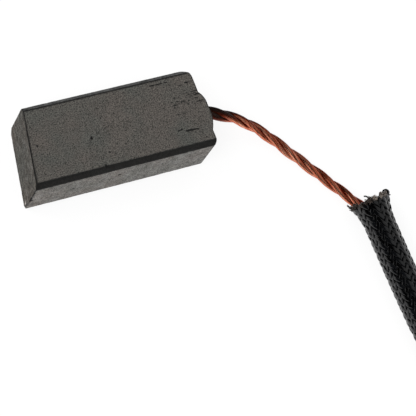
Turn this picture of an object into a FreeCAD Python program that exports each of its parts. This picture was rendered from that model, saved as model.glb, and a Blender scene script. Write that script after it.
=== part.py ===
import FreeCAD, Part
import math
import os

# Carbon brush: a graphite block, its copper shunt, a braided sleeve and a ring terminal.
# The origin is under the middle of the block, on the surface that the block lies on.
# +X runs from the contact face towards the shunt, +Y across the width and +Z up.
# All sizes are in millimetres.

# Graphite block, stock size 1/4 by 3/8 by 7/8 inch with a boss where the shunt comes out
block_width = 9.5
block_thickness = 6.35
shoulder_length = 21.95
boss_height = 0.54
boss_crown_far = 0.45
boss_crown_near = 0.75
boss_flank_far = 1.43
boss_flank_near = 2.1
long_edge_chamfer = 0.54
end_corner_radius_far = 1.2
end_corner_radius_near = 0.4
contact_slant_deg = 10.0

# Copper shunt, a stranded flexible pressed into the block
shunt_diameter = 1.16
shunt_side_offset = -0.2
shunt_embedded_length = 7.0
table_gap = 0.02
bend_share = 0.45

# Braided sleeve, pushed loosely over the shunt, with its cut end flared open
sleeve_diameter = 3.62
sleeve_wall = 0.5
sleeve_rest_gap = 0.2
mouth_diameter = 5.0
mouth_wall = 0.35
mouth_length = 3.2
mouth_lip = 0.2
mouth_gap = 0.05
bell_bend = 0.35
bell_drop = 0.45
bell_throat = 0.6

# Ring terminal, stamped from sheet and crimped round the end of the shunt
terminal_sheet = 0.7
barrel_length = 3.4
barrel_cleft = 0.34
barrel_lobe_rise = 0.92
barrel_lobe_spread = 0.62
shunt_stub = 0.7
neck_length = 2.4
ring_diameter = 7.6
ring_hole_diameter = 4.3

# Sizes that follow
block_length = shoulder_length + boss_height
shunt_radius = shunt_diameter / 2
sleeve_radius = sleeve_diameter / 2
barrel_radius = shunt_radius + terminal_sheet
ring_radius = ring_diameter / 2
contact_x = -block_length / 2
crown_x = block_length / 2
shoulder_x = crown_x - boss_height
hole_length = shunt_embedded_length + boss_height

# Heights of the lead above the surface it lies on
shunt_exit_height = block_thickness / 2
shunt_in_sleeve = table_gap + sleeve_wall + sleeve_rest_gap + shunt_radius
sleeve_on_table = sleeve_radius + table_gap
mouth_height = mouth_diameter / 2 + mouth_gap

# Routes, chosen by hand: distance past the block's end, place across, and height
shunt_route = [
    (0.0, shunt_side_offset, shunt_exit_height),
    (1.65, shunt_side_offset, shunt_exit_height),
    (4.75, -1.3, 2.45),
    (7.65, -3.15, 1.2),
    (10.7, -7.0, 0.62),
    (14.25, -12.15, 0.7),
    (16.55, -16.6, 1.85),
    (16.8, -23.25, shunt_in_sleeve),
    (17.35, -33.2, shunt_in_sleeve),
    (19.65, -43.55, barrel_radius),
    (21.35, -51.25, barrel_radius),
]
sleeve_route = [
    (16.4, -14.6, mouth_height),
    (16.9, -24.25, sleeve_on_table),
    (17.35, -34.15, sleeve_on_table),
    (19.55, -44.05, sleeve_on_table),
]


def vector(x, y, z):
    return FreeCAD.Vector(x, y, z)


def placed(route):
    """A route's points in the part's frame."""
    return [vector(crown_x + x, y, z) for x, y, z in route]


def rounded_path(points, skip=0.0):
    """Straight runs joined by tangent arcs. It starts that far along the first run, or before it."""
    edges = []
    radii = []
    start = points[0] + (points[1] - points[0]).normalize() * skip
    for before, corner, after in zip(points, points[1:], points[2:]):
        back = before - corner
        ahead = after - corner
        half_turn = (math.pi - back.getAngle(ahead)) / 2
        reach = bend_share * min(back.Length, ahead.Length)
        radius = reach / math.tan(half_turn)
        back.normalize()
        ahead.normalize()
        inward = (back + ahead).normalize()
        arc_start = corner + back * reach
        arc_end = corner + ahead * reach
        arc_middle = corner + inward * (radius / math.cos(half_turn) - radius)
        edges.append(Part.LineSegment(start, arc_start).toShape())
        edges.append(Part.Arc(arc_start, arc_middle, arc_end).toShape())
        radii.append(radius)
        start = arc_end
    edges.append(Part.LineSegment(start, points[-1]).toShape())
    return Part.Wire(edges), radii


def tube(path, radius):
    """A round rod swept along a path."""
    first = path.Edges[0]
    start = first.valueAt(first.FirstParameter)
    heading = first.tangentAt(first.FirstParameter)
    section = Part.Wire([Part.makeCircle(radius, start, heading)])
    return path.makePipeShell([section], True, False)


def report(name, solid, path, section_area, radii, diameter):
    """Prints a tube's bends and compares its volume with its section times its length."""
    bends = ", ".join(f"{r / diameter:.1f}" for r in radii)
    ratio = solid.Volume / (section_area * path.Length)
    print(f"{name}: length {path.Length:.2f} mm, bends in diameters {bends}, volume ratio {ratio:.4f}")


def flank(foot, crown):
    """One side of the boss: an arc that leaves the shoulder and ends tangent to the crown."""
    width = abs(crown - foot)
    radius = (width ** 2 + boss_height ** 2) / (2 * boss_height)
    side = math.copysign(1.0, foot - crown)
    half = math.asin(width / radius) / 2
    middle = vector(crown_x - radius + radius * math.cos(half), crown + side * radius * math.sin(half), 0)
    return Part.Arc(vector(shoulder_x, foot, 0), middle, vector(crown_x, crown, 0)).toShape()


def end_corner(side, radius):
    """A rounded corner of the shunt end, on the side given as 1 or -1."""
    inset = radius * (1 - math.sqrt(0.5))
    long_side = vector(shoulder_x - radius, side * block_width / 2, 0)
    middle = vector(shoulder_x - inset, side * (block_width / 2 - inset), 0)
    short_side = vector(shoulder_x, side * (block_width / 2 - radius), 0)
    return Part.Arc(long_side, middle, short_side).toShape()


def block_plan():
    """The block's outline seen from above: slanted contact face, rounded end corners and boss."""
    half = block_width / 2
    slant = block_width * math.tan(math.radians(contact_slant_deg))
    crown_far = shunt_side_offset + boss_crown_far
    crown_near = shunt_side_offset - boss_crown_near
    foot_far = crown_far + boss_flank_far
    foot_near = crown_near - boss_flank_near
    near_tip = vector(contact_x, -half, 0)
    far_tip = vector(contact_x + slant, half, 0)
    far_end = vector(shoulder_x - end_corner_radius_far, half, 0)
    far_shoulder = vector(shoulder_x, half - end_corner_radius_far, 0)
    near_shoulder = vector(shoulder_x, end_corner_radius_near - half, 0)
    near_end = vector(shoulder_x - end_corner_radius_near, -half, 0)
    edges = [
        Part.LineSegment(near_tip, far_tip).toShape(),
        Part.LineSegment(far_tip, far_end).toShape(),
        end_corner(1, end_corner_radius_far),
        Part.LineSegment(far_shoulder, vector(shoulder_x, foot_far, 0)).toShape(),
        flank(foot_far, crown_far),
        Part.LineSegment(vector(crown_x, crown_far, 0), vector(crown_x, crown_near, 0)).toShape(),
        flank(foot_near, crown_near),
        Part.LineSegment(vector(shoulder_x, foot_near, 0), near_shoulder).toShape(),
        end_corner(-1, end_corner_radius_near),
        Part.LineSegment(near_end, near_tip).toShape(),
    ]
    return Part.Face(Part.Wire(Part.sortEdges(edges)[0]))


def block_section():
    """The block's cross-section: a rectangle with its four long edges chamfered."""
    y = block_width / 2
    z = block_thickness
    c = long_edge_chamfer
    corners = [(-y, c), (c - y, 0), (y - c, 0), (y, c), (y, z - c), (y - c, z), (c - y, z), (-y, z - c)]
    points = [vector(contact_x, side, height) for side, height in corners]
    return Part.Face(Part.makePolygon(points + points[:1]))


def carbon_block():
    plan = block_plan().extrude(vector(0, 0, block_thickness))
    bar = block_section().extrude(vector(block_length, 0, 0))
    bottom_of_hole = vector(crown_x - shunt_embedded_length, shunt_side_offset, shunt_exit_height)
    hole = Part.makeCylinder(shunt_radius, hole_length, bottom_of_hole, vector(1, 0, 0))
    return plan.common(bar).cut(hole)


def copper_shunt():
    """The lead as one round rod, from the bottom of its hole in the block to its end in the terminal."""
    path, radii = rounded_path(placed(shunt_route), -shunt_embedded_length)
    lead = tube(path, shunt_radius)
    report("copper_shunt", lead, path, math.pi * shunt_radius ** 2, radii, shunt_diameter)
    return lead


def bell(start, heading):
    """The sleeve's flared mouth, with a rounded lip."""
    across = heading.cross(vector(0, 0, 1)).normalize()

    def at(depth, radius):
        return start + heading * depth + across * radius

    def curve(mouth, throat):
        shape = Part.BezierCurve()
        bend = at(bell_bend * mouth_length, mouth - bell_drop * (mouth - throat))
        straight = at(bell_throat * mouth_length, throat)
        shape.setPoles([at(mouth_lip, mouth), bend, straight, at(mouth_length, throat)])
        return shape.toShape()

    outer = mouth_diameter / 2
    inner = outer - mouth_wall
    bore = sleeve_radius - sleeve_wall
    lip = Part.Arc(at(mouth_lip, inner), at(0, (inner + outer) / 2), at(mouth_lip, outer)).toShape()
    throat = Part.LineSegment(at(mouth_length, bore), at(mouth_length, sleeve_radius)).toShape()
    edges = [lip, curve(outer, sleeve_radius), throat, curve(inner, bore)]
    profile = Part.Face(Part.Wire(Part.sortEdges(edges)[0]))
    return profile.revolve(start, heading, 360)


def insulating_sleeve():
    points = placed(sleeve_route)
    heading = (points[1] - points[0]).normalize()
    path, radii = rounded_path(points, mouth_length)
    bore_radius = sleeve_radius - sleeve_wall
    body = tube(path, sleeve_radius).cut(tube(path, bore_radius))
    area = math.pi * (sleeve_radius ** 2 - bore_radius ** 2)
    report("insulating_sleeve", body, path, area, radii, sleeve_diameter)
    return body.fuse(bell(points[0], heading)).removeSplitter()


def barrel_section():
    """The crimped barrel end on: a round belly, and two wings that curl over to meet in a cleft."""
    r = barrel_radius
    cleft = vector(0, 0, 2 * r - barrel_cleft)
    right = vector(0, -r, r)
    left = vector(0, r, r)
    rise = barrel_lobe_rise * r
    spread = barrel_lobe_spread * r
    edges = [
        Part.Arc(left, vector(0, 0, 0), right).toShape(),
        Part.Arc(right, vector(0, -spread, r + rise), cleft).toShape(),
        Part.Arc(cleft, vector(0, spread, r + rise), left).toShape(),
    ]
    return Part.Face(Part.Wire(edges))


def terminal_neck(neck_width):
    """The sheet between barrel and ring: a half-round channel that opens out flat."""
    r = barrel_radius
    y = neck_width / 2
    x = barrel_length
    end_x = barrel_length + neck_length
    belly = Part.Arc(vector(x, -r, r), vector(x, 0, 0), vector(x, r, r)).toShape()
    inside = vector(x, 0, terminal_sheet)
    seat = Part.Arc(vector(x, -shunt_radius, r), inside, vector(x, shunt_radius, r)).toShape()
    under = Part.LineSegment(vector(end_x, -y, 0), vector(end_x, y, 0)).toShape()
    over = Part.LineSegment(vector(end_x, -y, terminal_sheet), vector(end_x, y, terminal_sheet)).toShape()
    faces = [Part.makeRuledSurface(belly, under), Part.makeRuledSurface(seat, over)]
    rims = []
    steps = []
    for side in (-1, 1):
        rim = Part.BezierSurface()
        rim.setPole(1, 1, vector(x, side * r, r))
        rim.setPole(1, 2, vector(x, side * shunt_radius, r))
        rim.setPole(2, 1, vector(end_x, side * y, 0))
        rim.setPole(2, 2, vector(end_x, side * y, terminal_sheet))
        faces.append(rim.toShape())
        rims.append(Part.LineSegment(rim.getPole(1, 1), rim.getPole(1, 2)).toShape())
        steps.append(Part.LineSegment(rim.getPole(2, 1), rim.getPole(2, 2)).toShape())
    for loop in ([belly, seat] + rims, [under, over] + steps):
        faces.append(Part.Face(Part.Wire(Part.sortEdges(loop)[0])))
    shell = Part.Compound(faces)
    shell.sewShape()
    neck = Part.Solid(shell.Shells[0])
    return neck.reversed() if neck.Volume < 0 else neck


def ring_terminal():
    """Made along +X from the mouth of its barrel, then laid along the end of the shunt."""
    up = vector(0, 0, 1)
    along = vector(1, 0, 0)
    barrel = barrel_section().extrude(along * barrel_length)
    bore = Part.makeCylinder(shunt_radius, barrel_length, vector(0, 0, barrel_radius), along)
    neck_width = math.pi * (shunt_radius + barrel_radius) / 2
    flat_start = barrel_length + neck_length
    ring_centre = vector(flat_start + ring_radius, 0, 0)
    strip = Part.makeBox(ring_radius, neck_width, terminal_sheet, vector(flat_start, -neck_width / 2, 0))
    ring = Part.makeCylinder(ring_radius, terminal_sheet, ring_centre, up)
    hole = Part.makeCylinder(ring_hole_diameter / 2, terminal_sheet, ring_centre, up)
    shape = barrel.cut(bore).fuse([terminal_neck(neck_width), strip, ring]).cut(hole).removeSplitter()
    last_run = placed(shunt_route)[-2:]
    heading = last_run[1] - last_run[0]
    heading.normalize()
    mouth = last_run[1] - heading * (barrel_length + shunt_stub)
    mouth.z = 0
    turn = math.degrees(math.atan2(heading.y, heading.x))
    to_place = FreeCAD.Placement(mouth, FreeCAD.Rotation(up, turn))
    hole_centre = to_place.multVec(ring_centre)
    print(f"ring_terminal: hole centre {hole_centre.x:.4f}, {hole_centre.y:.4f}")
    shape.Placement = to_place
    return shape


os.makedirs("parts", exist_ok=True)
for make in (carbon_block, copper_shunt, insulating_sleeve, ring_terminal):
    node = make()
    size = node.BoundBox
    print(f"{make.__name__}: volume {node.Volume:.2f} mm3, solids {len(node.Solids)}, "
          f"valid {node.isValid()}, z {size.ZMin:.3f} to {size.ZMax:.3f}")
    node.exportStep(f"parts/{make.__name__}.step")
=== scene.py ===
import itertools
import math

import bpy
import numpy as np
from mathutils import Matrix, Vector


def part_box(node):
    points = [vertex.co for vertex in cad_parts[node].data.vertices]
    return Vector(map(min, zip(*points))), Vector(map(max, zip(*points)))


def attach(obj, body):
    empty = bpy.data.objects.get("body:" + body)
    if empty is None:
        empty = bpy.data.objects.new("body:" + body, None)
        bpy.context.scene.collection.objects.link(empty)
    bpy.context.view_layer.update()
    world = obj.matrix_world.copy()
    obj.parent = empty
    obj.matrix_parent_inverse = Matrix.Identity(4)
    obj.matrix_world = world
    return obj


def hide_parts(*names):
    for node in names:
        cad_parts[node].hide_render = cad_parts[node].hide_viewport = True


# Carbon brush: a graphite block, its stranded copper shunt, a braided sleeve and a crimped ring terminal.
# Everything is in metres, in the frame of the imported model.
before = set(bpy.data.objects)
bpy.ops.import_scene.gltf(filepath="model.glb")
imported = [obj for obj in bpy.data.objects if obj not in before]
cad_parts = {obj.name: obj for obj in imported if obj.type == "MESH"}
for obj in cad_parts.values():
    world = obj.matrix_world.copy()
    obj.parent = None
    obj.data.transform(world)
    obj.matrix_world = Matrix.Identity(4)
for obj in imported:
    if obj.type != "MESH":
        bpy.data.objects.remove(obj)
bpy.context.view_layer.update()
block_low, block_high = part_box("carbon_block")
scene = bpy.context.scene
mm = 0.001

# Camera, at the photograph's viewing angle
camera_place = (-0.07684, -0.065261, 0.191972)
camera_right = (0.88664, -0.35544, 0.29587)
camera_up = (0.23828, 0.89942, 0.36643)
camera_lens = 166.06
camera_sensor = 36.0

# Graphite block
edge_chamfer = 0.54 * mm
corner_radius_far = 1.2 * mm
corner_radius_near = 0.4 * mm
boss_height = 0.54 * mm
boss_crown_near = -0.95 * mm
boss_crown_far = 0.25 * mm
boss_flank_near = 2.1 * mm
boss_flank_far = 1.43 * mm
contact_slant = math.tan(math.radians(10))
block_step = 0.104 * mm
chamfer_steps = 9
edge_sharpness = 0.012 * mm
edge_smoothing = 0.4
edge_wear = 0.12 * mm
far_edge_width = 0.7 * mm
contact_line = 0.09 * mm
near_corner_width = 0.1 * mm
near_corner_foot = 2.4 * mm
side_margin = 0.06 * mm
top_margin = 0.05 * mm
chamfer_margin = 0.002 * mm
shunt_recess = 0.3 * mm
shunt_gap = 0.1 * mm

# Relief of the block's skin: how wide its lumps are, and how deep
relief = [
    (0.2 * mm, 0.010 * mm),
    (0.5 * mm, 0.012 * mm),
    (3.5 * mm, 0.03 * mm),
]
# Places on the block: along, across and up, then a radius and a depth
pits = [
    (-3.29 * mm, -0.63 * mm, 6.35 * mm, 0.15 * mm, 0.20 * mm),
    (-9.53 * mm, -0.04 * mm, 6.35 * mm, 0.10 * mm, 0.08 * mm),
    (-1.89 * mm, -2.71 * mm, 6.35 * mm, 0.10 * mm, 0.08 * mm),
    (-0.79 * mm, -4.75 * mm, 4.03 * mm, 0.17 * mm, 0.10 * mm),
    (4.42 * mm, -4.75 * mm, 4.02 * mm, 0.13 * mm, 0.07 * mm),
    (-6.28 * mm, -4.75 * mm, 3.42 * mm, 0.12 * mm, 0.07 * mm),
]
# Chips on the edges, given the same way
chips = [
    (-2.87 * mm, -4.21 * mm, 6.35 * mm, 0.22 * mm, 0.08 * mm),
    (-11.23 * mm, -4.72 * mm, 5.0 * mm, 0.22 * mm, 0.12 * mm),
    (-11.23 * mm, -4.72 * mm, 3.4 * mm, 0.2 * mm, 0.14 * mm),
    (-11.23 * mm, -4.72 * mm, 2.8 * mm, 0.32 * mm, 0.18 * mm),
    (-11.20 * mm, -4.52 * mm, 1.45 * mm, 0.15 * mm, 0.05 * mm),
    (-11.20 * mm, -4.5 * mm, 1.15 * mm, 0.15 * mm, 0.05 * mm),
    (-11.20 * mm, -4.5 * mm, 0.8 * mm, 0.15 * mm, 0.05 * mm),
]
small_pit_count = 170
small_pit_radius = (0.04 * mm, 0.08 * mm)
small_pit_depth = (0.02 * mm, 0.06 * mm)
pit_black_from = 0.05 * mm
# A painted glint: a light spot at the lowest corner
glint_spot = (-11.15 * mm, -4.24 * mm, 0.85 * mm)
glint_radius = 0.2 * mm
# Scratches on the top: both ends, along and across, then a width, a depth and how broken they are
scratches = [
    (-2.55 * mm, -0.26 * mm, -0.87 * mm, 0.32 * mm, 0.08 * mm, 0.03 * mm, 0.3),
    (5.43 * mm, 3.70 * mm, 7.50 * mm, 3.67 * mm, 0.11 * mm, 0.10 * mm, 0.2),
    (7.6 * mm, -2.47 * mm, 9.1 * mm, -2.51 * mm, 0.11 * mm, 0.12 * mm, -0.2),
    (5.59 * mm, -2.48 * mm, 7.23 * mm, -2.14 * mm, 0.10 * mm, 0.06 * mm, 0.45),
    (9.57 * mm, 3.15 * mm, 10.03 * mm, 3.04 * mm, 0.12 * mm, 0.06 * mm, 0.2),
    (9.18 * mm, 0.55 * mm, 10.87 * mm, 0.65 * mm, 0.10 * mm, 0.04 * mm, 0.4),
    (8.90 * mm, 0.95 * mm, 10.40 * mm, 1.05 * mm, 0.10 * mm, 0.04 * mm, 0.4),
]
scratch_black_from = 0.04 * mm
# Striations are fine scratches near the shunt end, by turns in a narrow band and a broad one
striation_count = 44
striation_start = (7.0 * mm, 10.1 * mm)
striation_bands = [(0.2 * mm, 1.9 * mm), (-1.6 * mm, 4.3 * mm)]
striation_length = (0.3 * mm, 1.3 * mm)
striation_slope = (-0.06, 0.06)
striation_width = 0.08 * mm
striation_depth = (0.008 * mm, 0.03 * mm)
striation_broken = 0.25

# Copper shunt: strands laid as a rope, each of fine wires
shunt_diameter = 1.16 * mm
strand_count = 3
strand_radius = 0.322 * mm
strand_offset = 0.335 * mm
root_swell = 0.62
root_length = 5 * mm
strand_lay = 9.2 * mm
strand_phase = math.radians(206)
wires_in_strand = 20
wire_radius = 0.115 * mm
wire_extra_turn = 0.3
wire_step = 0.36 * mm
wire_wander = 0.9
wire_bulge = 0.04 * mm
core_gap = 0.05 * mm
core_corners = 8
soot_length = 2.4 * mm
fading_length = 13 * mm
# The side turned from the light, where the wires are painted dark as painted shade
sooty_side = (0.72, 0.51, 0.47)

# Braided sleeve
sleeve_radius = 1.845 * mm
sleeve_bore_radius = 1.34 * mm
liner_thickness = 0.1 * mm
liner_start = 0.3 * mm
liner_stations = 90
liner_corners = 36
sleeve_step = 0.25 * mm
mouth_radius = 2.55 * mm
mouth_length = 3.2 * mm
mouth_lip = 0.12 * mm
lip_length = 1.1 * mm
lip_side = (-0.9, 0.1, -0.3)
cut_side = (-0.8, 0, 0.6)
cut_depth = 0.3 * mm
cut_raggedness = 0.3 * mm
# The way the fray faces where it is painted grey, as painted light
fray_lit_side = (0.05, 0, 1.0)
yarns_each_way = 20
braid_turn = 16.6 * mm
yarn_width = 0.5 * mm
yarn_thickness = 0.29 * mm
yarn_wave = 0.085 * mm
way_lift = 0.015 * mm
yarn_wander = 0.16
yarn_puff = 0.45
yarn_step = 0.13 * mm
filaments = 5
# A yarn's section, as shares of its half width and half thickness: flat and rounded on top
yarn_shape = np.array([
    (-1, 0.25), (-0.82, 0.83), (-0.38, 1), (0.38, 1), (0.82, 0.83), (1, 0.25), (0.6, -0.8), (-0.6, -0.8),
])
fray_length = 0.45 * mm
fray_band = 0.5 * mm
fray_clumps = 70
fibres_in_clump = 9
fibre_points = 6
fibre_corners = 5
fibre_scatter = 0.06 * mm
fibre_reach = (0.1 * mm, 0.3 * mm)
fibre_radius = (0.025 * mm, 0.055 * mm)
loop_thickness = 0.095 * mm

# Routes: distance past the block's end, place across, and height
shunt_route = [
    (0.0, 0.00026, 0.0033),
    (0.0015, -0.00004, 0.00323),
    (0.00475, -0.0013, 0.00245),
    (0.00765, -0.00315, 0.0012),
    (0.0107, -0.007, 0.00062),
    (0.01425, -0.01215, 0.0007),
    (0.01655, -0.0166, 0.00185),
    (0.0168, -0.02325, 0.0013),
    (0.01735, -0.0332, 0.0013),
    (0.01965, -0.04355, 0.00128),
    (0.02135, -0.05125, 0.00128),
]
sleeve_route = [
    (0.0164, -0.0146, 0.00255),
    (0.0169, -0.02425, 0.00183),
    (0.01735, -0.03415, 0.00183),
    (0.01955, -0.04405, 0.00183),
]
# A stray yarn that loops back at the mouth, and a tuft, given the same way
loop_route = [
    (0.01742, -0.01475, 0.0042),
    (0.01745, -0.0146, 0.0044),
    (0.01765, -0.01455, 0.00448),
    (0.01795, -0.0146, 0.00448),
    (0.01812, -0.01478, 0.0043),
    (0.01808, -0.01519, 0.004),
]
tuft_route = [
    (0.0155, -0.0152, 0.0044),
    (0.0152, -0.0149, 0.0046),
    (0.0149, -0.01478, 0.0048),
    (0.0146, -0.01478, 0.0049),
]
route_resolution = 40
loop_stride = 6

# Stage
floor_width = 6.0
floor_tone = 0.9
floor_glow = 0.85
world_light = 0.8
# Cards, darker than the white round the part: place, the way it faces, width, height and brightness
cards = {
    "card_above_left": ((-0.62, 0.1, 0.62), (0, 0, 1), 1.2, 2.2, 0.015),
    "card_above_right": ((0.58, -0.3225, 0.62), (0, 0, 1), 1.2, 1.365, 0.53),
    "card_above_far": ((0.58, 0.7775, 0.62), (0, 0, 1), 1.2, 0.835, 0.1),
    "card_far": ((0.38, 0.48, 0.22), (0.6, 0.75, 0.3), 0.75, 0.5, 0.1),
    "card_near": ((0.18, -0.55, 0.17), (0.30, -0.92, 0.28), 0.9, 0.4, 0.03),
    "card_left": ((-0.55, 0.12, 0.22), (-0.93, 0.2, 0.33), 1.0, 0.4, 0.02),
    "card_left_near": ((-0.4, -0.5, 0.2), (-0.6, -0.75, 0.3), 0.8, 0.4, 0.02),
    "card_left_far": ((-0.35, 0.62, 0.22), (-0.45, 0.8, 0.3), 0.8, 0.4, 0.05),
}
# Lamps: place, size and watts
lamps = {
    "key": ((-0.35, -0.15, 0.45), 0.35, 2.2),
    "fill": ((-0.4, 0.3, 0.4), 0.4, 1.2),
}


def make_camera():
    data = bpy.data.cameras.new("camera")
    data.lens = camera_lens
    data.sensor_width = camera_sensor
    data.clip_start = 0.01
    data.clip_end = 10
    camera = bpy.data.objects.new("camera", data)
    scene.collection.objects.link(camera)
    right = Vector(camera_right).normalized()
    back = right.cross(Vector(camera_up)).normalized()
    up = back.cross(right)
    turn = Matrix((right, up, back)).transposed().to_4x4()
    camera.matrix_world = Matrix.Translation(camera_place) @ turn
    scene.camera = camera


def spline_points(route):
    """Points read from a smooth spline that has the route's points as its control points."""
    curve = bpy.data.curves.new("route", "CURVE")
    curve.dimensions = "3D"
    curve.resolution_u = route_resolution
    spline = curve.splines.new("NURBS")
    spline.points.add(len(route) - 1)
    for point, (x, y, z) in zip(spline.points, route):
        point.co = (block_high.x + x, y, z, 1)
    spline.order_u = 3
    spline.use_endpoint_u = True
    holder = bpy.data.objects.new("route", curve)
    mesh = bpy.data.meshes.new_from_object(holder)
    points = np.array([v.co for v in mesh.vertices])
    bpy.data.objects.remove(holder)
    bpy.data.curves.remove(curve)
    bpy.data.meshes.remove(mesh)
    return points


def evenly(points, step):
    """The same line with its points an even step apart, and how far along it each one is."""
    far = np.concatenate([[0], np.cumsum(np.linalg.norm(np.diff(points, axis=0), axis=1))])
    along = np.linspace(0, far[-1], round(far[-1] / step) + 1)
    return np.column_stack([np.interp(along, far, points[:, k]) for k in range(3)]), along


def unit(vectors):
    return vectors / np.linalg.norm(vectors, axis=-1, keepdims=True)


def directions(line):
    """Unit vectors ahead, to one side and up at each point of a line, with no twist of their own."""
    ahead = unit(np.gradient(line, axis=0))
    side = np.empty_like(ahead)
    side[0] = np.cross(ahead[0], (0, 0, 1))
    for k in range(1, len(line)):
        side[k] = side[k - 1] - ahead[k] * (side[k - 1] @ ahead[k])
    side = unit(side)
    for k in range(1, len(line)):
        flat = side[k - 1] - ahead[k] * (side[k - 1] @ ahead[k])
        side[k] = flat / np.linalg.norm(flat)
    return ahead, side, np.cross(side, ahead)


def noise(points, size, seed):
    """Smooth noise from 0 to 1 at each point, in lumps about as wide as size."""
    count = 48
    lattice = np.random.default_rng(seed).random((count, count, count))
    places = points / size
    cell = np.floor(places).astype(int)
    share = places - cell
    share = share * share * (3 - 2 * share)
    total = np.zeros(len(points))
    for corner in itertools.product((0, 1), repeat=3):
        weight = np.where(corner, share, 1 - share).prod(axis=1)
        total += weight * lattice[tuple(((cell + corner) % count).T)]
    return total


def add_piece(name, points, faces, material, marks):
    """A smooth mesh that rides on the part and lies on the floor. marks holds numbers for its material."""
    points[:, 2] = np.maximum(points[:, 2], 0)
    mesh = bpy.data.meshes.new(name)
    mesh.from_pydata(points.tolist(), [], faces)
    mesh.shade_smooth()
    for mark, values in marks.items():
        layer = mesh.attributes.new(mark, "FLOAT", "POINT")
        layer.data.foreach_set("value", np.asarray(values, np.float32))
    mesh.materials.append(material)
    piece = bpy.data.objects.new(name, mesh)
    scene.collection.objects.link(piece)
    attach(piece, "root")
    return piece


class Bundle:
    """Rods that are gathered into one mesh."""

    def __init__(self):
        self.points = []
        self.faces = []
        self.marks = {}
        self.count = 0

    def rod(self, line, side, up, outline, looped=False, **marks):
        """A rod, whose line may run back to its start. outline gives its section as places along side and up,
        for each point of the line. Each mark is one number, a number for each point of the line, or a row for
        the section's corners."""
        steps, corners = outline.shape[:2]
        ring = line[:, None] + outline[..., :1] * side[:, None] + outline[..., 1:] * up[:, None]
        station = np.arange(steps if looped else steps - 1)[:, None]
        start = self.count + station * corners
        onward = self.count + (station + 1) % steps * corners
        here = np.arange(corners)
        after = (here + 1) % corners
        walls = np.stack([start + here, start + after, onward + after, onward + here], axis=-1)
        self.faces += walls.reshape(-1, 4).tolist()
        if not looped:
            self.faces.append((self.count + here[::-1]).tolist())
            self.faces.append((self.count + (steps - 1) * corners + here).tolist())
        self.points.append(ring.reshape(-1, 3))
        for mark, values in marks.items():
            values = np.asarray(values, float)
            values = values if values.ndim == 2 else values.reshape(-1, 1)
            self.marks.setdefault(mark, []).append(np.broadcast_to(values, (steps, corners)).ravel())
        self.count += steps * corners

    def thread(self, line, radius, **marks):
        """A fine round rod along a line."""
        _, side, up = directions(line)
        self.rod(line, side, up, round_outline(fibre_corners, np.full(len(line), radius)), **marks)

    def piece(self, name, material, slot):
        marks = {mark: np.concatenate(parts) for mark, parts in self.marks.items()}
        return add_piece(name, np.concatenate(self.points), self.faces, material, marks)


def round_outline(corners, radius):
    """A round section at each point of a line, where radius gives one number for each."""
    turn = np.arange(corners) * 2 * math.pi / corners
    return np.stack([np.cos(turn), np.sin(turn)], axis=-1) * np.reshape(radius, (-1, 1, 1))


# Materials

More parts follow.
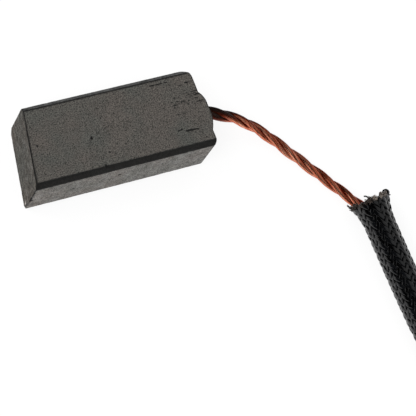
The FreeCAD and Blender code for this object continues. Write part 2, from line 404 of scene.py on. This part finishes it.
class Surface:
    """Short calls that build one material's nodes."""

    def __init__(self, name):
        self.material = bpy.data.materials.new(name)
        self.material.use_nodes = True
        self.tree = self.material.node_tree
        self.shader = self.tree.nodes["Principled BSDF"]
        self.place = self.tree.nodes.new("ShaderNodeTexCoord").outputs["Object"]

    def put(self, socket, value):
        if isinstance(value, bpy.types.NodeSocket):
            self.tree.links.new(value, socket)
        else:
            socket.default_value = value

    def mark(self, name):
        node = self.tree.nodes.new("ShaderNodeAttribute")
        node.attribute_name = name
        return node.outputs["Fac"]

    def grain(self, size, detail=2.0, roughness=0.5, place=None):
        """Noise from 0 to 1, in lumps about as wide as size."""
        node = self.tree.nodes.new("ShaderNodeTexNoise")
        self.put(node.inputs["Vector"], place or self.place)
        node.inputs["Scale"].default_value = 0.5 / size
        node.inputs["Detail"].default_value = detail
        node.inputs["Roughness"].default_value = roughness
        return node.outputs["Fac"]

    def specks(self, spacing, size, share):
        """1 in small round specks, which are about as far apart as spacing, and 0 between them."""
        node = self.tree.nodes.new("ShaderNodeTexVoronoi")
        self.put(node.inputs["Vector"], self.place)
        node.inputs["Scale"].default_value = 1 / spacing
        split = self.tree.nodes.new("ShaderNodeSeparateColor")
        self.put(split.inputs["Color"], node.outputs["Color"])
        reach = self.span(split.outputs["Red"], 1 - share, 1.0, 0.0, size / spacing)
        inside = self.sum(reach, node.outputs["Distance"], how="SUBTRACT")
        return self.span(inside, 0.0, 0.12 * size / spacing)

    def stretch(self, along):
        """The object's places drawn out along each axis by that factor."""
        node = self.tree.nodes.new("ShaderNodeMapping")
        self.put(node.inputs["Vector"], self.place)
        node.inputs["Scale"].default_value = [1 / k for k in along]
        return node.outputs["Vector"]

    def span(self, value, low, high, to_low=0.0, to_high=1.0):
        """A value taken from one range to another, and held at its ends."""
        node = self.tree.nodes.new("ShaderNodeMapRange")
        self.put(node.inputs["Value"], value)
        for name, number in (("From Min", low), ("From Max", high), ("To Min", to_low), ("To Max", to_high)):
            self.put(node.inputs[name], number)
        return node.outputs["Result"]

    def sum(self, *values, how="ADD"):
        total = values[0]
        for value in values[1:]:
            node = self.tree.nodes.new("ShaderNodeMath")
            node.operation = how
            self.put(node.inputs[0], total)
            self.put(node.inputs[1], value)
            total = node.outputs[0]
        return total

    def wave(self, value, count):
        """Even ridges from 0 to 1, count of them for each step of 2 in the value."""
        node = self.tree.nodes.new("ShaderNodeMath")
        node.operation = "SINE"
        self.put(node.inputs[0], self.sum(value, math.pi * count, how="MULTIPLY"))
        return self.span(node.outputs[0], -1.0, 1.0)

    def blend(self, share, first, second, how="MIX"):
        node = self.tree.nodes.new("ShaderNodeMix")
        node.data_type = "RGBA"
        node.blend_type = how
        self.put(node.inputs["Factor"], share)
        for socket, value in ((node.inputs["A"], first), (node.inputs["B"], second)):
            self.put(socket, (*value, 1) if isinstance(value, tuple) else value)
        return node.outputs["Result"]

    def bump(self, height, distance, strength):
        node = self.tree.nodes.new("ShaderNodeBump")
        self.put(node.inputs["Height"], height)
        node.inputs["Distance"].default_value = distance
        node.inputs["Strength"].default_value = strength
        self.put(self.shader.inputs["Normal"], node.outputs["Normal"])

    def set(self, **values):
        for name, value in values.items():
            socket = self.shader.inputs[name.replace("_", " ")]
            self.put(socket, (*value, 1) if isinstance(value, tuple) else value)


def graphite():
    """Ground graphite: speckled grain, brown and green clouds, painted shade on chamfers, edges, hollows and
    the contact face, and a painted glint.
    """
    s = Surface("graphite")
    brown = (0.064, 0.0565, 0.049)
    green = (0.053, 0.0535, 0.047)
    speck = (0.012, 0.011, 0.010)
    contact_streak_and_shade_low = (0.59, 0.55, 0.505)
    contact_streak_and_shade_high = (0.92, 0.855, 0.78)
    lit_side = (1.42, 1.35, 1.29)
    chamfer_painted_dark = (0.002, 0.002, 0.0015)
    chamfer_painted_grey = (0.010, 0.0095, 0.008)
    painted_glint = (0.34, 0.31, 0.29)
    # Near black, for painted shade on edges and in hollows
    black = (0.002, 0.002, 0.0018)
    cloud = s.span(s.grain(2.0 * mm, detail=4), 0.38, 0.62)
    grain = s.span(s.grain(0.065 * mm, detail=2, roughness=0.6), 0.32, 0.68)
    streak = s.span(s.grain(0.16 * mm, detail=3, place=s.stretch((1, 2.6, 1))), 0.36, 0.66)
    base = s.blend(cloud, brown, green)
    shaded = s.blend(1.0, base, s.span(grain, 0.0, 1.0, 0.1, 1.8), "MULTIPLY")
    shaded = s.blend(s.specks(0.3 * mm, 0.085 * mm, 0.35), shaded, speck)
    # The contact face keeps its streaks from grinding and is painted darker overall, as painted shade.
    contact_streaks_and_shade = s.blend(1.0, shaded, s.blend(streak, contact_streak_and_shade_low, contact_streak_and_shade_high), "MULTIPLY")
    shaded = s.blend(s.mark("contact"), shaded, contact_streaks_and_shade)
    shaded = s.blend(s.mark("side"), shaded, s.blend(1.0, shaded, lit_side, "MULTIPLY"))
    # The chamfers are painted nearly black, as a painted reflection of dark surroundings.
    shaded = s.blend(s.mark("chamfer"), shaded, s.blend(grain, chamfer_painted_dark, chamfer_painted_grey))
    # A painted glint at the lowest corner
    shaded = s.blend(s.mark("worn"), shaded, painted_glint)
    # Edges, and pits, chips, scratches and the recess round the shunt, are painted near black as painted
    # shade.
    ragged = s.sum(s.mark("hollow_shade"), s.span(s.grain(0.09 * mm, detail=1), 0.3, 0.7, -0.15, 0.15))
    dark = s.sum(s.mark("edge"), s.span(ragged, 0.32, 0.6), how="MAXIMUM")
    s.set(Base_Color=s.blend(dark, shaded, black))
    patch = s.span(s.grain(0.45 * mm, detail=4, roughness=0.6), 0.35, 0.65, 0.12, -0.12)
    rubbed = s.sum(s.mark("contact"), s.span(streak, 0.0, 1.0, 0.42, 0.12), how="MULTIPLY")
    s.set(Roughness=s.sum(s.span(grain, 0.0, 1.0, 0.66, 0.36), patch, rubbed), IOR=1.47)
    lumps = s.sum(s.grain(0.12 * mm, detail=3, roughness=0.7), s.grain(0.4 * mm, detail=2))
    s.bump(lumps, 0.02 * mm, 0.9)
    return s.material


def copper():
    """Fine copper wire, bright in streaks and painted brighter where it faces the light, black with graphite
    where it leaves the block, and painted dark as shade on the side turned from the light.
    """
    s = Surface("copper")
    dull = (0.42, 0.06, 0.026)
    plain = (0.66, 0.17, 0.085)
    bright = (0.92, 0.43, 0.28)
    stain_and_shade_dark = (0.13, 0.02, 0.0075)
    sooty = (0.036, 0.02, 0.0155)
    base = s.blend(s.span(s.mark("tone"), 0.0, 0.5), dull, plain)
    base = s.blend(s.span(s.mark("tone"), 0.5, 1.0), base, bright)
    base = s.blend(s.span(s.mark("soot"), 0.0, 0.5), base, stain_and_shade_dark)
    base = s.blend(s.span(s.mark("soot"), 0.5, 1.0), base, sooty)
    s.set(Base_Color=base, Metallic=1.0, Roughness=0.3)
    return s.material


def braid_yarn():
    """Black yarn with fine filaments, brown where its cut ends fray, and painted grey on the fray's top as
    painted light.
    """
    s = Surface("braid_yarn")
    black = (0.0002, 0.0002, 0.0003)
    faded = (0.0026, 0.0029, 0.0036)
    brown = (0.018, 0.012, 0.009)
    grey = (0.31, 0.265, 0.225)
    tone = s.span(s.sum(s.mark("tone"), s.grain(0.3 * mm, detail=2)), 0.5, 1.5)
    frayed = s.blend(s.mark("light"), brown, grey)
    s.set(Base_Color=s.blend(s.mark("fray"), s.blend(tone, black, faded), frayed))
    s.set(Roughness=0.15, IOR=1.5)
    s.bump(s.sum(s.wave(s.mark("across"), filaments), s.grain(0.05 * mm, detail=2)), 0.012 * mm, 0.3)
    return s.material


def tinned_sheet():
    """Tin-plated sheet, a little dull, with faint rolling lines."""
    s = Surface("tinned_sheet")
    dull = (0.46, 0.45, 0.42)
    bright = (0.66, 0.65, 0.61)
    cloud = s.grain(0.8 * mm, detail=3)
    s.set(Base_Color=s.blend(s.span(cloud, 0.3, 0.7), dull, bright))
    s.set(Metallic=0.75, Roughness=s.span(cloud, 0.3, 0.7, 0.5, 0.38))
    s.bump(s.grain(0.06 * mm, detail=3, place=s.stretch((1, 8, 1))), 0.003 * mm, 0.5)
    return s.material


# Graphite block

def shunt_end(across):
    """How far the block reaches at each place across: rounded corners, shoulder and low boss."""
    half = block_high.y
    past = np.maximum(np.maximum(across - boss_crown_far, boss_crown_near - across), 0)
    flank = np.where(across > boss_crown_far, boss_flank_far, boss_flank_near)
    curve = (flank ** 2 + boss_height ** 2) / (2 * boss_height)
    rise = boss_height - curve + np.sqrt(np.maximum(curve ** 2 - past ** 2, 0))
    corner = np.where(across > 0, corner_radius_far, corner_radius_near)
    inset = np.maximum(np.abs(across) - (half - corner), 0)
    drop = corner - np.sqrt(np.maximum(corner ** 2 - inset ** 2, 0))
    return block_high.x - boss_height + np.where(past < flank, rise, 0) - drop


def block_shell():
    """The block's skin as a fine grid of four-sided faces, with its two ends first."""
    half = block_high.y
    top = block_high.z
    flat = half - edge_chamfer
    corner = flat + edge_chamfer * np.sin(np.linspace(0, math.pi / 2, chamfer_steps))
    middle = np.linspace(-flat, flat, round(2 * flat / block_step))[1:-1]
    across = np.concatenate([-corner[::-1], middle, corner])
    inset = np.maximum(np.abs(across) - flat, 0)[:, None]
    levels = round((top - edge_chamfer) / block_step)
    height = inset + np.linspace(0, 1, levels) * (top - 2 * inset)
    index = np.arange(height.size).reshape(height.shape)
    rim = np.concatenate([index[:, 0], index[-1, 1:], index[-2::-1, -1], index[0, -2:0:-1]])
    start = np.repeat(block_low.x + contact_slant * (across + half), levels)
    end = np.repeat(shunt_end(across), levels)
    ends = [np.column_stack([x, np.repeat(across, levels), height.ravel()]) for x in (start, end)]
    rows = round((block_high.x - block_low.x) / block_step)
    place = np.linspace(0, 1, rows)[1:-1, None, None]
    skin = ends[0][rim] + place * (ends[1] - ends[0])[rim]
    rings = 2 * index.size + np.arange(skin[..., 0].size).reshape(skin.shape[:2])
    loops = np.concatenate([[rim], rings, [rim + index.size]])
    after = np.roll(loops, -1, axis=1)
    walls = np.stack([loops[:-1], after[:-1], after[1:], loops[1:]], axis=-1).reshape(-1, 4)
    near = np.stack([index[:-1, :-1], index[:-1, 1:], index[1:, 1:], index[1:, :-1]], axis=-1).reshape(-1, 4)
    far = near[:, ::-1] + index.size
    return np.concatenate([*ends, skin.reshape(-1, 3)]), np.concatenate([near, far, walls]), index.size


def averages(values, faces):
    """For each point, the mean of its neighbours' values."""
    here = faces.ravel()
    after = np.roll(faces, -1, axis=1).ravel()
    values = values.reshape(len(values), -1)
    totals = [np.bincount(here, column[after], len(values)) for column in values.T]
    return np.column_stack(totals) / np.bincount(here, minlength=len(values))[:, None]


def normals_of(points, faces):
    a, b, c, d = (points[faces[:, k]] for k in range(4))
    face = np.repeat(np.cross(c - a, d - b), 4, axis=0)
    total = np.column_stack([np.bincount(faces.ravel(), face[:, k], len(points)) for k in range(3)])
    return unit(total)


def sharpness(points, faces):
    """How far each point stands out from its neighbours, from 0 on the flat to 1 on an edge."""
    out = (averages(points, faces) - points) * normals_of(points, faces)
    return np.clip(np.abs(out.sum(axis=1)) / edge_sharpness, 0, 1)


def scratch_shape(points, ends, width, broken):
    """How much each point is in a scratch on the top, from 0 to 1."""
    x0, y0, x1, y1 = ends
    run = np.array([x1 - x0, y1 - y0])
    share = np.clip((points[:, :2] - (x0, y0)) @ run / (run @ run), 0, 1)
    nearest = np.column_stack([x0 + share * run[0], y0 + share * run[1], np.full(len(points), block_high.z)])
    away = np.linalg.norm(points - nearest, axis=1)
    close = away < 2 * width
    shape = np.zeros(len(points))
    dashes = np.clip((noise(nearest[close], 0.25 * mm, seed=11) - broken) * 6, 0, 1)
    shape[close] = np.exp(-(away[close] / width * 1.6) ** 2) * dashes
    return shape


def small_pits(points, random):
    """Little pits at points taken by chance."""
    spots = points[random.integers(0, len(points), small_pit_count)]
    return [(*spot, random.uniform(*small_pit_radius), random.uniform(*small_pit_depth)) for spot in spots]


def striations(random):
    """Fine scratches along the top, near the shunt end."""
    rows = []
    for number in range(striation_count):
        x = random.uniform(*striation_start)
        y = random.uniform(*striation_bands[number % 2])
        length = random.uniform(*striation_length)
        slope = random.uniform(*striation_slope)
        depth = random.uniform(*striation_depth)
        rows.append((x, y, x + length, y + length * slope, striation_width, depth, striation_broken))
    return rows


def hollows(points):
    """How deep the pits, chips and scratches are at each point, and how much painted shade darkens them."""
    random = np.random.default_rng(5)
    depth = np.zeros(len(points))
    dark = np.zeros(len(points))
    for x, y, z, radius, deep in pits + small_pits(points, random):
        shape = np.exp(-(np.linalg.norm(points - (x, y, z), axis=1) / radius) ** 2)
        depth += shape * deep
        dark = np.maximum(dark, np.clip(shape * 1.8, 0, 1) * min(deep / pit_black_from, 1))
    ragged = (noise(points, 0.15 * mm, seed=6) - 0.5) * 0.8
    for x, y, z, radius, deep in chips:
        shape = np.clip(1.2 - np.linalg.norm(points - (x, y, z), axis=1) / radius + ragged, 0, 1)
        depth += shape * deep
        dark = np.maximum(dark, np.clip(shape * 2.5, 0, 1))
    for *ends, width, deep, broken in scratches + striations(random):
        shape = scratch_shape(points, ends, width, broken)
        depth += shape * deep
        dark = np.maximum(dark, np.clip(shape * 2, 0, 1) * min(deep / scratch_black_from, 1))
    return depth, dark


def painted_edge_shade(points, sharp, near_sharp, wear, on_contact):
    """How much painted shade darkens each point on an edge or beside one, from 0 to 1."""
    past_contact = points[:, 0] - block_low.x - contact_slant * (points[:, 1] + block_high.y)
    below_top = block_high.z - points[:, 2]
    far_edge = (below_top < far_edge_width) & (points[:, 1] > 0)
    beside = np.clip(near_sharp * 4, 0, 1) * np.where(far_edge, 0.6, 0.3)
    edge = np.maximum(sharp, beside) * (0.75 + 0.25 * (wear < 0.6))
    # The line along the contact face's top edge is broadest at its near end
    on_top = (below_top < top_margin) & ~on_contact
    nearness = 0.5 - 0.5 * points[:, 1] / block_high.y
    line = np.clip(1.35 - past_contact / contact_line + nearness * 1.3 + wear * 0.6, 0, 1)
    edge = np.maximum(edge, on_top * line * (0.8 + 0.2 * nearness))
    near_corner = np.hypot(past_contact, points[:, 1] + block_high.y) < near_corner_width
    return np.maximum(edge, near_corner * (points[:, 2] > near_corner_foot) * 0.8)


def carbon_block():
    """The block's skin, with pits, chips, scratches and worn edges carved into it."""
    points, faces, end_size = block_shell()
    sharp = sharpness(points, faces)
    near_sharp = averages(sharp, faces)[:, 0]
    level = np.minimum(points[:, 2], block_high.z - points[:, 2])
    out_of_chamfer = level + block_high.y - np.abs(points[:, 1]) - edge_chamfer
    on_contact = np.arange(len(points)) < end_size
    points = points + (averages(points, faces) - points) * edge_smoothing
    normals = normals_of(points, faces)
    wear = noise(points, 0.6 * mm, seed=1)
    depth, dark = hollows(points)
    for seed, (size, deep) in enumerate(relief, start=2):
        depth += (noise(points, size, seed) - 0.5) * deep
    depth += np.clip(near_sharp * 1.6, 0, 1) * np.clip(wear - 0.6, 0, 1) * edge_wear
    _, shunt_y, shunt_z = shunt_route[0]
    hole_away = np.hypot(points[:, 1] - shunt_y, points[:, 2] - shunt_z)
    in_hole = (hole_away < shunt_diameter / 2 + shunt_gap) & (points[:, 0] > 0)
    depth += in_hole * shunt_recess
    points = points - normals * depth[:, None]
    side = np.abs(points[:, 1]) > block_high.y - side_margin
    marks = {
        "chamfer": out_of_chamfer < chamfer_margin,
        "contact": on_contact,
        "side": side & ~on_contact,
        # Painted shade on edges, and in hollows with the recess round the shunt
        "edge": painted_edge_shade(points, sharp, near_sharp, wear, on_contact),
        "hollow_shade": np.maximum(dark, in_hole),
        # A painted glint
        "worn": np.exp(-(np.linalg.norm(points - glint_spot, axis=1) / glint_radius) ** 2),
    }
    piece = add_piece("graphite_block", points, faces.tolist(), graphite(), marks)
    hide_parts("carbon_block")


# Copper shunt

def wire_cap(steps):
    """The outer side of a wire's section, which is all that shows where it lies against its neighbours."""
    turn = np.radians((-63, -21, 21, 63))
    cap = np.column_stack([np.cos(turn), np.sin(turn)])
    shape = np.concatenate([cap, [(0.1, 0.5), (0.1, -0.5)]]) * wire_radius
    return np.broadcast_to(shape, (steps, *shape.shape))


def own_places(along, number):
    """Places for the noise of one wire or yarn, away from those of the others."""
    return np.column_stack([along, np.full((len(along), 2), number * 3.7 * mm)])


def wire_tone(own, seed, facing):
    """How bright a wire is: in patches, by chance, and where it faces the light."""
    patches = noise(own + 40 * mm, 4 * mm, seed=25) * 0.5
    chance = np.random.default_rng(seed).random() * 0.6 - 0.05
    lit = 0.3 * (0.7 - 1.6 * np.abs(facing + 0.25))
    return patches + chance + lit


def wire_soot(along, facing):
    """How black a wire is, from 0 to 1: graphite dust all round near the block, and painted shade on the side
    turned from the light, which fades further along.
    """
    near_block = np.clip(1.9 - along / soot_length, 0, 1)
    fading = np.clip(1 - along / fading_length, 0, 1)
    upper = np.clip(0.45 + facing, 0, 1)
    shaded = np.clip(2.2 * facing + 0.1, 0, 1)
    return np.clip(near_block * (0.62 + upper * 0.42) + (0.05 + fading * 0.8) * shaded, 0, 1)


def shunt_wires():
    """Wires laid round strands, and strands laid round the route."""
    smooth = spline_points(shunt_route)
    line, along = evenly(smooth, wire_step)
    _, side, up = directions(line)
    bundle = Bundle()
    lay = along * 2 * math.pi / strand_lay
    full = strand_radius * (1 + root_swell * np.clip(1 - along / root_length, 0, 1))
    for strand in range(strand_count):
        turn = strand_phase - lay + strand * 2 * math.pi / strand_count
        out = np.cos(turn)[:, None] * side + np.sin(turn)[:, None] * up
        centre = line + out * strand_offset
        ahead = unit(np.gradient(centre, axis=0))
        out = unit(out - ahead * (out * ahead).sum(axis=1, keepdims=True))
        over = np.cross(ahead, out)
        # The core shows only in the gaps between the wires and is painted dark there, as painted shade.
        bundle.rod(centre, out, over, round_outline(core_corners, full - core_gap), tone=0.0, soot=0.7)
        for wire in range(wires_in_strand):
            seed = 50 * strand + wire
            own = own_places(along, seed)
            wander = (noise(own, 3.5 * mm, seed=22) - 0.5) * wire_wander
            around = (wire + wander) * 2 * math.pi / wires_in_strand + lay * wire_extra_turn
            outward = np.cos(around)[:, None] * out + np.sin(around)[:, None] * over
            reach = full - wire_radius + (noise(own, 1.8 * mm, seed=23) - 0.5) * wire_bulge
            middle = centre + outward * reach[:, None]
            facing = outward @ sooty_side
            bundle.rod(middle, outward, np.cross(ahead, outward), wire_cap(len(line)),
                       tone=wire_tone(own, seed, facing), soot=wire_soot(along, facing))
    piece = bundle.piece("copper_wires", copper(), "bare_copper")
    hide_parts("copper_shunt")
    return piece, smooth


# Braided sleeve

def flare(along):
    """How wide the sleeve is at each place, as a share of its plain radius. It opens at its cut end."""
    share = np.clip(1 - along / mouth_length, 0, 1)
    return 1 + (mouth_radius / sleeve_radius - 1) * share ** 1.7


def sleeve_line():
    """The sleeve's centre line, as a function of how far along it is."""
    line, along = evenly(spline_points(sleeve_route), sleeve_step)
    _, side, up = directions(line)

    def at(where):
        parts = []
        for field in (line, side, up):
            parts.append(np.column_stack([np.interp(where, along, field[:, k]) for k in range(3)]))
        return parts

    return at, along[-1]


def yarn_outline(width, thickness):
    """A yarn's section at each place, where width gives one number for each."""
    return 0.5 * yarn_shape * np.stack([width, np.full(len(width), thickness)], axis=-1)[:, None]


def fray_painted_light(facing):
    """How much painted light turns the frayed yarn grey on that side of the mouth, from 0 to 1."""
    return np.clip(4 * (facing @ fray_lit_side) - 2.9, 0, 1)


def sleeve_braid():
    """Yarns that wind both ways round the sleeve and pass over and under each other."""
    at, length = sleeve_line()
    bundle = Bundle()
    random = np.random.default_rng(31)
    middle_radius = sleeve_radius - yarn_thickness / 2 - yarn_wave
    (_,), (mouth_side,), (mouth_up,) = at(np.array([0.0]))
    for way in (1, -1):
        for yarn in range(yarns_each_way):
            first = yarn * 2 * math.pi / yarns_each_way
            facing = math.cos(first) * mouth_side + math.sin(first) * mouth_up
            start = random.uniform(0, cut_raggedness) + max(facing @ cut_side, 0) * cut_depth
            along = np.linspace(start, length, round((length - start) / yarn_step))
            centre, side, up = at(along)
            wander = (noise(own_places(along, yarn + 30 * way), 2.2 * mm, seed=34) - 0.5) * yarn_wander
            around = first + way * along * 2 * math.pi / braid_turn + wander
            weave = way * np.cos(around * yarns_each_way / 2)
            out = np.cos(around)[:, None] * side + np.sin(around)[:, None] * up
            lip = mouth_lip * np.clip(1 - along / lip_length, 0, 1) * np.clip(out @ lip_side, 0, 1)
            reach = (middle_radius + weave * yarn_wave + way * way_lift) * flare(along) + lip
            line = centre + out * reach[:, None]
            ahead = unit(np.gradient(line, axis=0))
            across = unit(np.cross(out, ahead))
            puff = 1 + (noise(line + yarn * 3 * mm, 0.8 * mm, seed=32) - 0.5) * yarn_puff
            width = yarn_width * puff * (0.85 + 0.15 * weave + 0.08 * way) * flare(along)
            # Yarns that wind one way lie deeper and are painted darker, as painted shade; each yarn's tone
            # also differs at random.
            bundle.rod(line, across, np.cross(ahead, across), yarn_outline(width, yarn_thickness),
                       tone=random.random() * (0.7 + 0.3 * way), light=fray_painted_light(facing) * 0.45,
                       fray=np.clip(0.8 - (along - start) / fray_length, 0, 1),
                       across=yarn_shape[None, :, 0])
    return bundle, at, length


def frayed_end(bundle, at):
    """Cut yarn ends at the mouth: clumps of fibres, dark brown, and painted grey on top as painted light."""
    random = np.random.default_rng(33)
    (centre,), (side,), (up,) = at(np.array([0.0]))
    ahead = np.cross(up, side)
    share = np.linspace(0, 1, fibre_points)[:, None]
    for _ in range(fray_clumps):
        turn = random.uniform(0, 2 * math.pi)
        out = math.cos(turn) * side + math.sin(turn) * up
        lip = max(out @ lip_side, 0)
        cut = max(out @ cut_side, 0)
        root = centre + out * (mouth_radius * random.uniform(0.86, 0.96) + mouth_lip * lip)
        root = root + ahead * (random.uniform(0, fray_band) + cut * cut_depth)
        lean = out * random.uniform(-0.5, 0.2 + 0.4 * lip) - ahead * random.uniform(0.1, 0.9)
        lean = lean + np.cross(ahead, out) * random.uniform(-1.0, 1.0)
        light = fray_painted_light(out) * random.uniform(0.1, 0.8) + 0.04 * cut
        reach = random.uniform(*fibre_reach)
        for _ in range(fibres_in_clump):
            start = root + random.normal(size=3) * fibre_scatter
            heading = unit(lean + random.normal(size=3) * 0.35)
            bend = random.normal(size=3) * 0.3 * reach
            line = start + heading * share * reach * random.uniform(0.6, 1.3) + bend * share ** 2
            bundle.thread(line, random.uniform(*fibre_radius), light=light * random.uniform(0.7, 1.1),
                          tone=random.random(), fray=random.uniform(0.5, 1.0), across=0.0)
    for route in (loop_route, tuft_route):
        line = spline_points(route)[::loop_stride]
        bundle.thread(line, loop_thickness, tone=0.0, light=0.0, fray=0.0, across=0.0)


def insulating_sleeve():
    """The braid with its frayed end, round a thin hollow liner."""
    bundle, at, length = sleeve_braid()
    frayed_end(bundle, at)
    along = np.linspace(liner_start, length, liner_stations)
    outside = sleeve_bore_radius * flare(along)
    wall = np.concatenate([outside, outside[::-1] - liner_thickness])
    centre, side, up = at(np.concatenate([along, along[::-1]]))
    bundle.rod(centre, side, up, round_outline(liner_corners, wall), looped=True,
               tone=0.0, light=0.0, fray=0.0, across=0.0)
    piece = bundle.piece("braided_sleeve", braid_yarn(), "black_braid")
    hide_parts("insulating_sleeve")
    return piece


# Ring terminal

def ring_terminal():
    """The terminal keeps its own solid, and only gets a material."""
    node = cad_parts["ring_terminal"]
    node.data.materials.clear()
    node.data.materials.append(tinned_sheet())
    return node


# Stage

def flat_panel(name, width, height):
    """A flat rectangle round its own middle."""
    x = width / 2
    y = height / 2
    mesh = bpy.data.meshes.new(name)
    mesh.from_pydata([(-x, -y, 0), (x, -y, 0), (x, y, 0), (-x, y, 0)], [], [(0, 1, 2, 3)])
    panel = bpy.data.objects.new(name, mesh)
    scene.collection.objects.link(panel)
    return panel


def make_floor():
    """A white floor that still shows the part's shadow."""
    floor = flat_panel("floor", floor_width, floor_width)
    material = bpy.data.materials.new("floor")
    material.use_nodes = True
    tree = material.node_tree
    paper = tree.nodes["Principled BSDF"]
    paper.inputs["Base Color"].default_value = (floor_tone, floor_tone, floor_tone, 1)
    paper.inputs["Roughness"].default_value = 1.0
    paper.inputs["Specular IOR Level"].default_value = 0.0
    glow = tree.nodes.new("ShaderNodeEmission")
    share = tree.nodes.new("ShaderNodeMath")
    share.operation = "MULTIPLY"
    share.inputs[1].default_value = floor_glow
    mix = tree.nodes.new("ShaderNodeMixShader")
    tree.links.new(seen_rays(tree), share.inputs[0])
    tree.links.new(share.outputs[0], mix.inputs[0])
    tree.links.new(paper.outputs[0], mix.inputs[1])
    tree.links.new(glow.outputs[0], mix.inputs[2])
    tree.links.new(mix.outputs[0], tree.nodes["Material Output"].inputs["Surface"])
    floor.data.materials.append(material)


def seen_rays(tree):
    """1 for rays from the camera, off a gloss or through glass, and 0 for the rest."""
    path = tree.nodes.new("ShaderNodeLightPath")
    total = path.outputs["Is Camera Ray"]
    for name in ("Is Glossy Ray", "Is Transmission Ray"):
        node = tree.nodes.new("ShaderNodeMath")
        node.operation = "MAXIMUM"
        tree.links.new(total, node.inputs[0])
        tree.links.new(path.outputs[name], node.inputs[1])
        total = node.outputs[0]
    return total


def make_world():
    world = bpy.data.worlds.new("world")
    scene.world = world
    world.use_nodes = True
    tree = world.node_tree
    back = tree.nodes["Background"]
    back.inputs["Color"].default_value = (1, 1, 1, 1)
    level = tree.nodes.new("ShaderNodeMapRange")
    level.inputs["To Min"].default_value = world_light
    level.inputs["To Max"].default_value = 1.0
    tree.links.new(seen_rays(tree), level.inputs["Value"])
    tree.links.new(level.outputs["Result"], back.inputs["Strength"])


def make_cards():
    """Cards that only glossy rays see, so that metal and chamfers have something dark to show."""
    for name, (place, facing, width, height, level) in cards.items():
        material = bpy.data.materials.new(name)
        material.use_nodes = True
        shader = material.node_tree.nodes["Principled BSDF"]
        shader.inputs["Base Color"].default_value = (0, 0, 0, 1)
        shader.inputs["Specular IOR Level"].default_value = 0.0
        shader.inputs["Emission Color"].default_value = (1, 1, 1, 1)
        shader.inputs["Emission Strength"].default_value = level
        card = flat_panel(name, width, height)
        card.data.materials.append(material)
        card.location = place
        card.rotation_mode = "QUATERNION"
        card.rotation_quaternion = Vector(facing).to_track_quat("Z", "Y")
        card.visible_camera = False
        card.visible_diffuse = False
        card.visible_shadow = False


def make_lamps():
    """Soft lamps that don't show in anything glossy."""
    for name, (place, size, watts) in lamps.items():
        data = bpy.data.lights.new(name, "AREA")
        data.size = size
        data.energy = watts
        lamp = bpy.data.objects.new(name, data)
        scene.collection.objects.link(lamp)
        lamp.location = place
        lamp.visible_glossy = False
        lamp.rotation_mode = "QUATERNION"
        lamp.rotation_quaternion = (-Vector(place)).to_track_quat("-Z", "Y")


scene.view_settings.view_transform = "Standard"
make_camera()
make_floor()
make_world()
make_cards()
make_lamps()
carbon_block()
wires, wire_route = shunt_wires()
sleeve = insulating_sleeve()
terminal = ring_terminal()
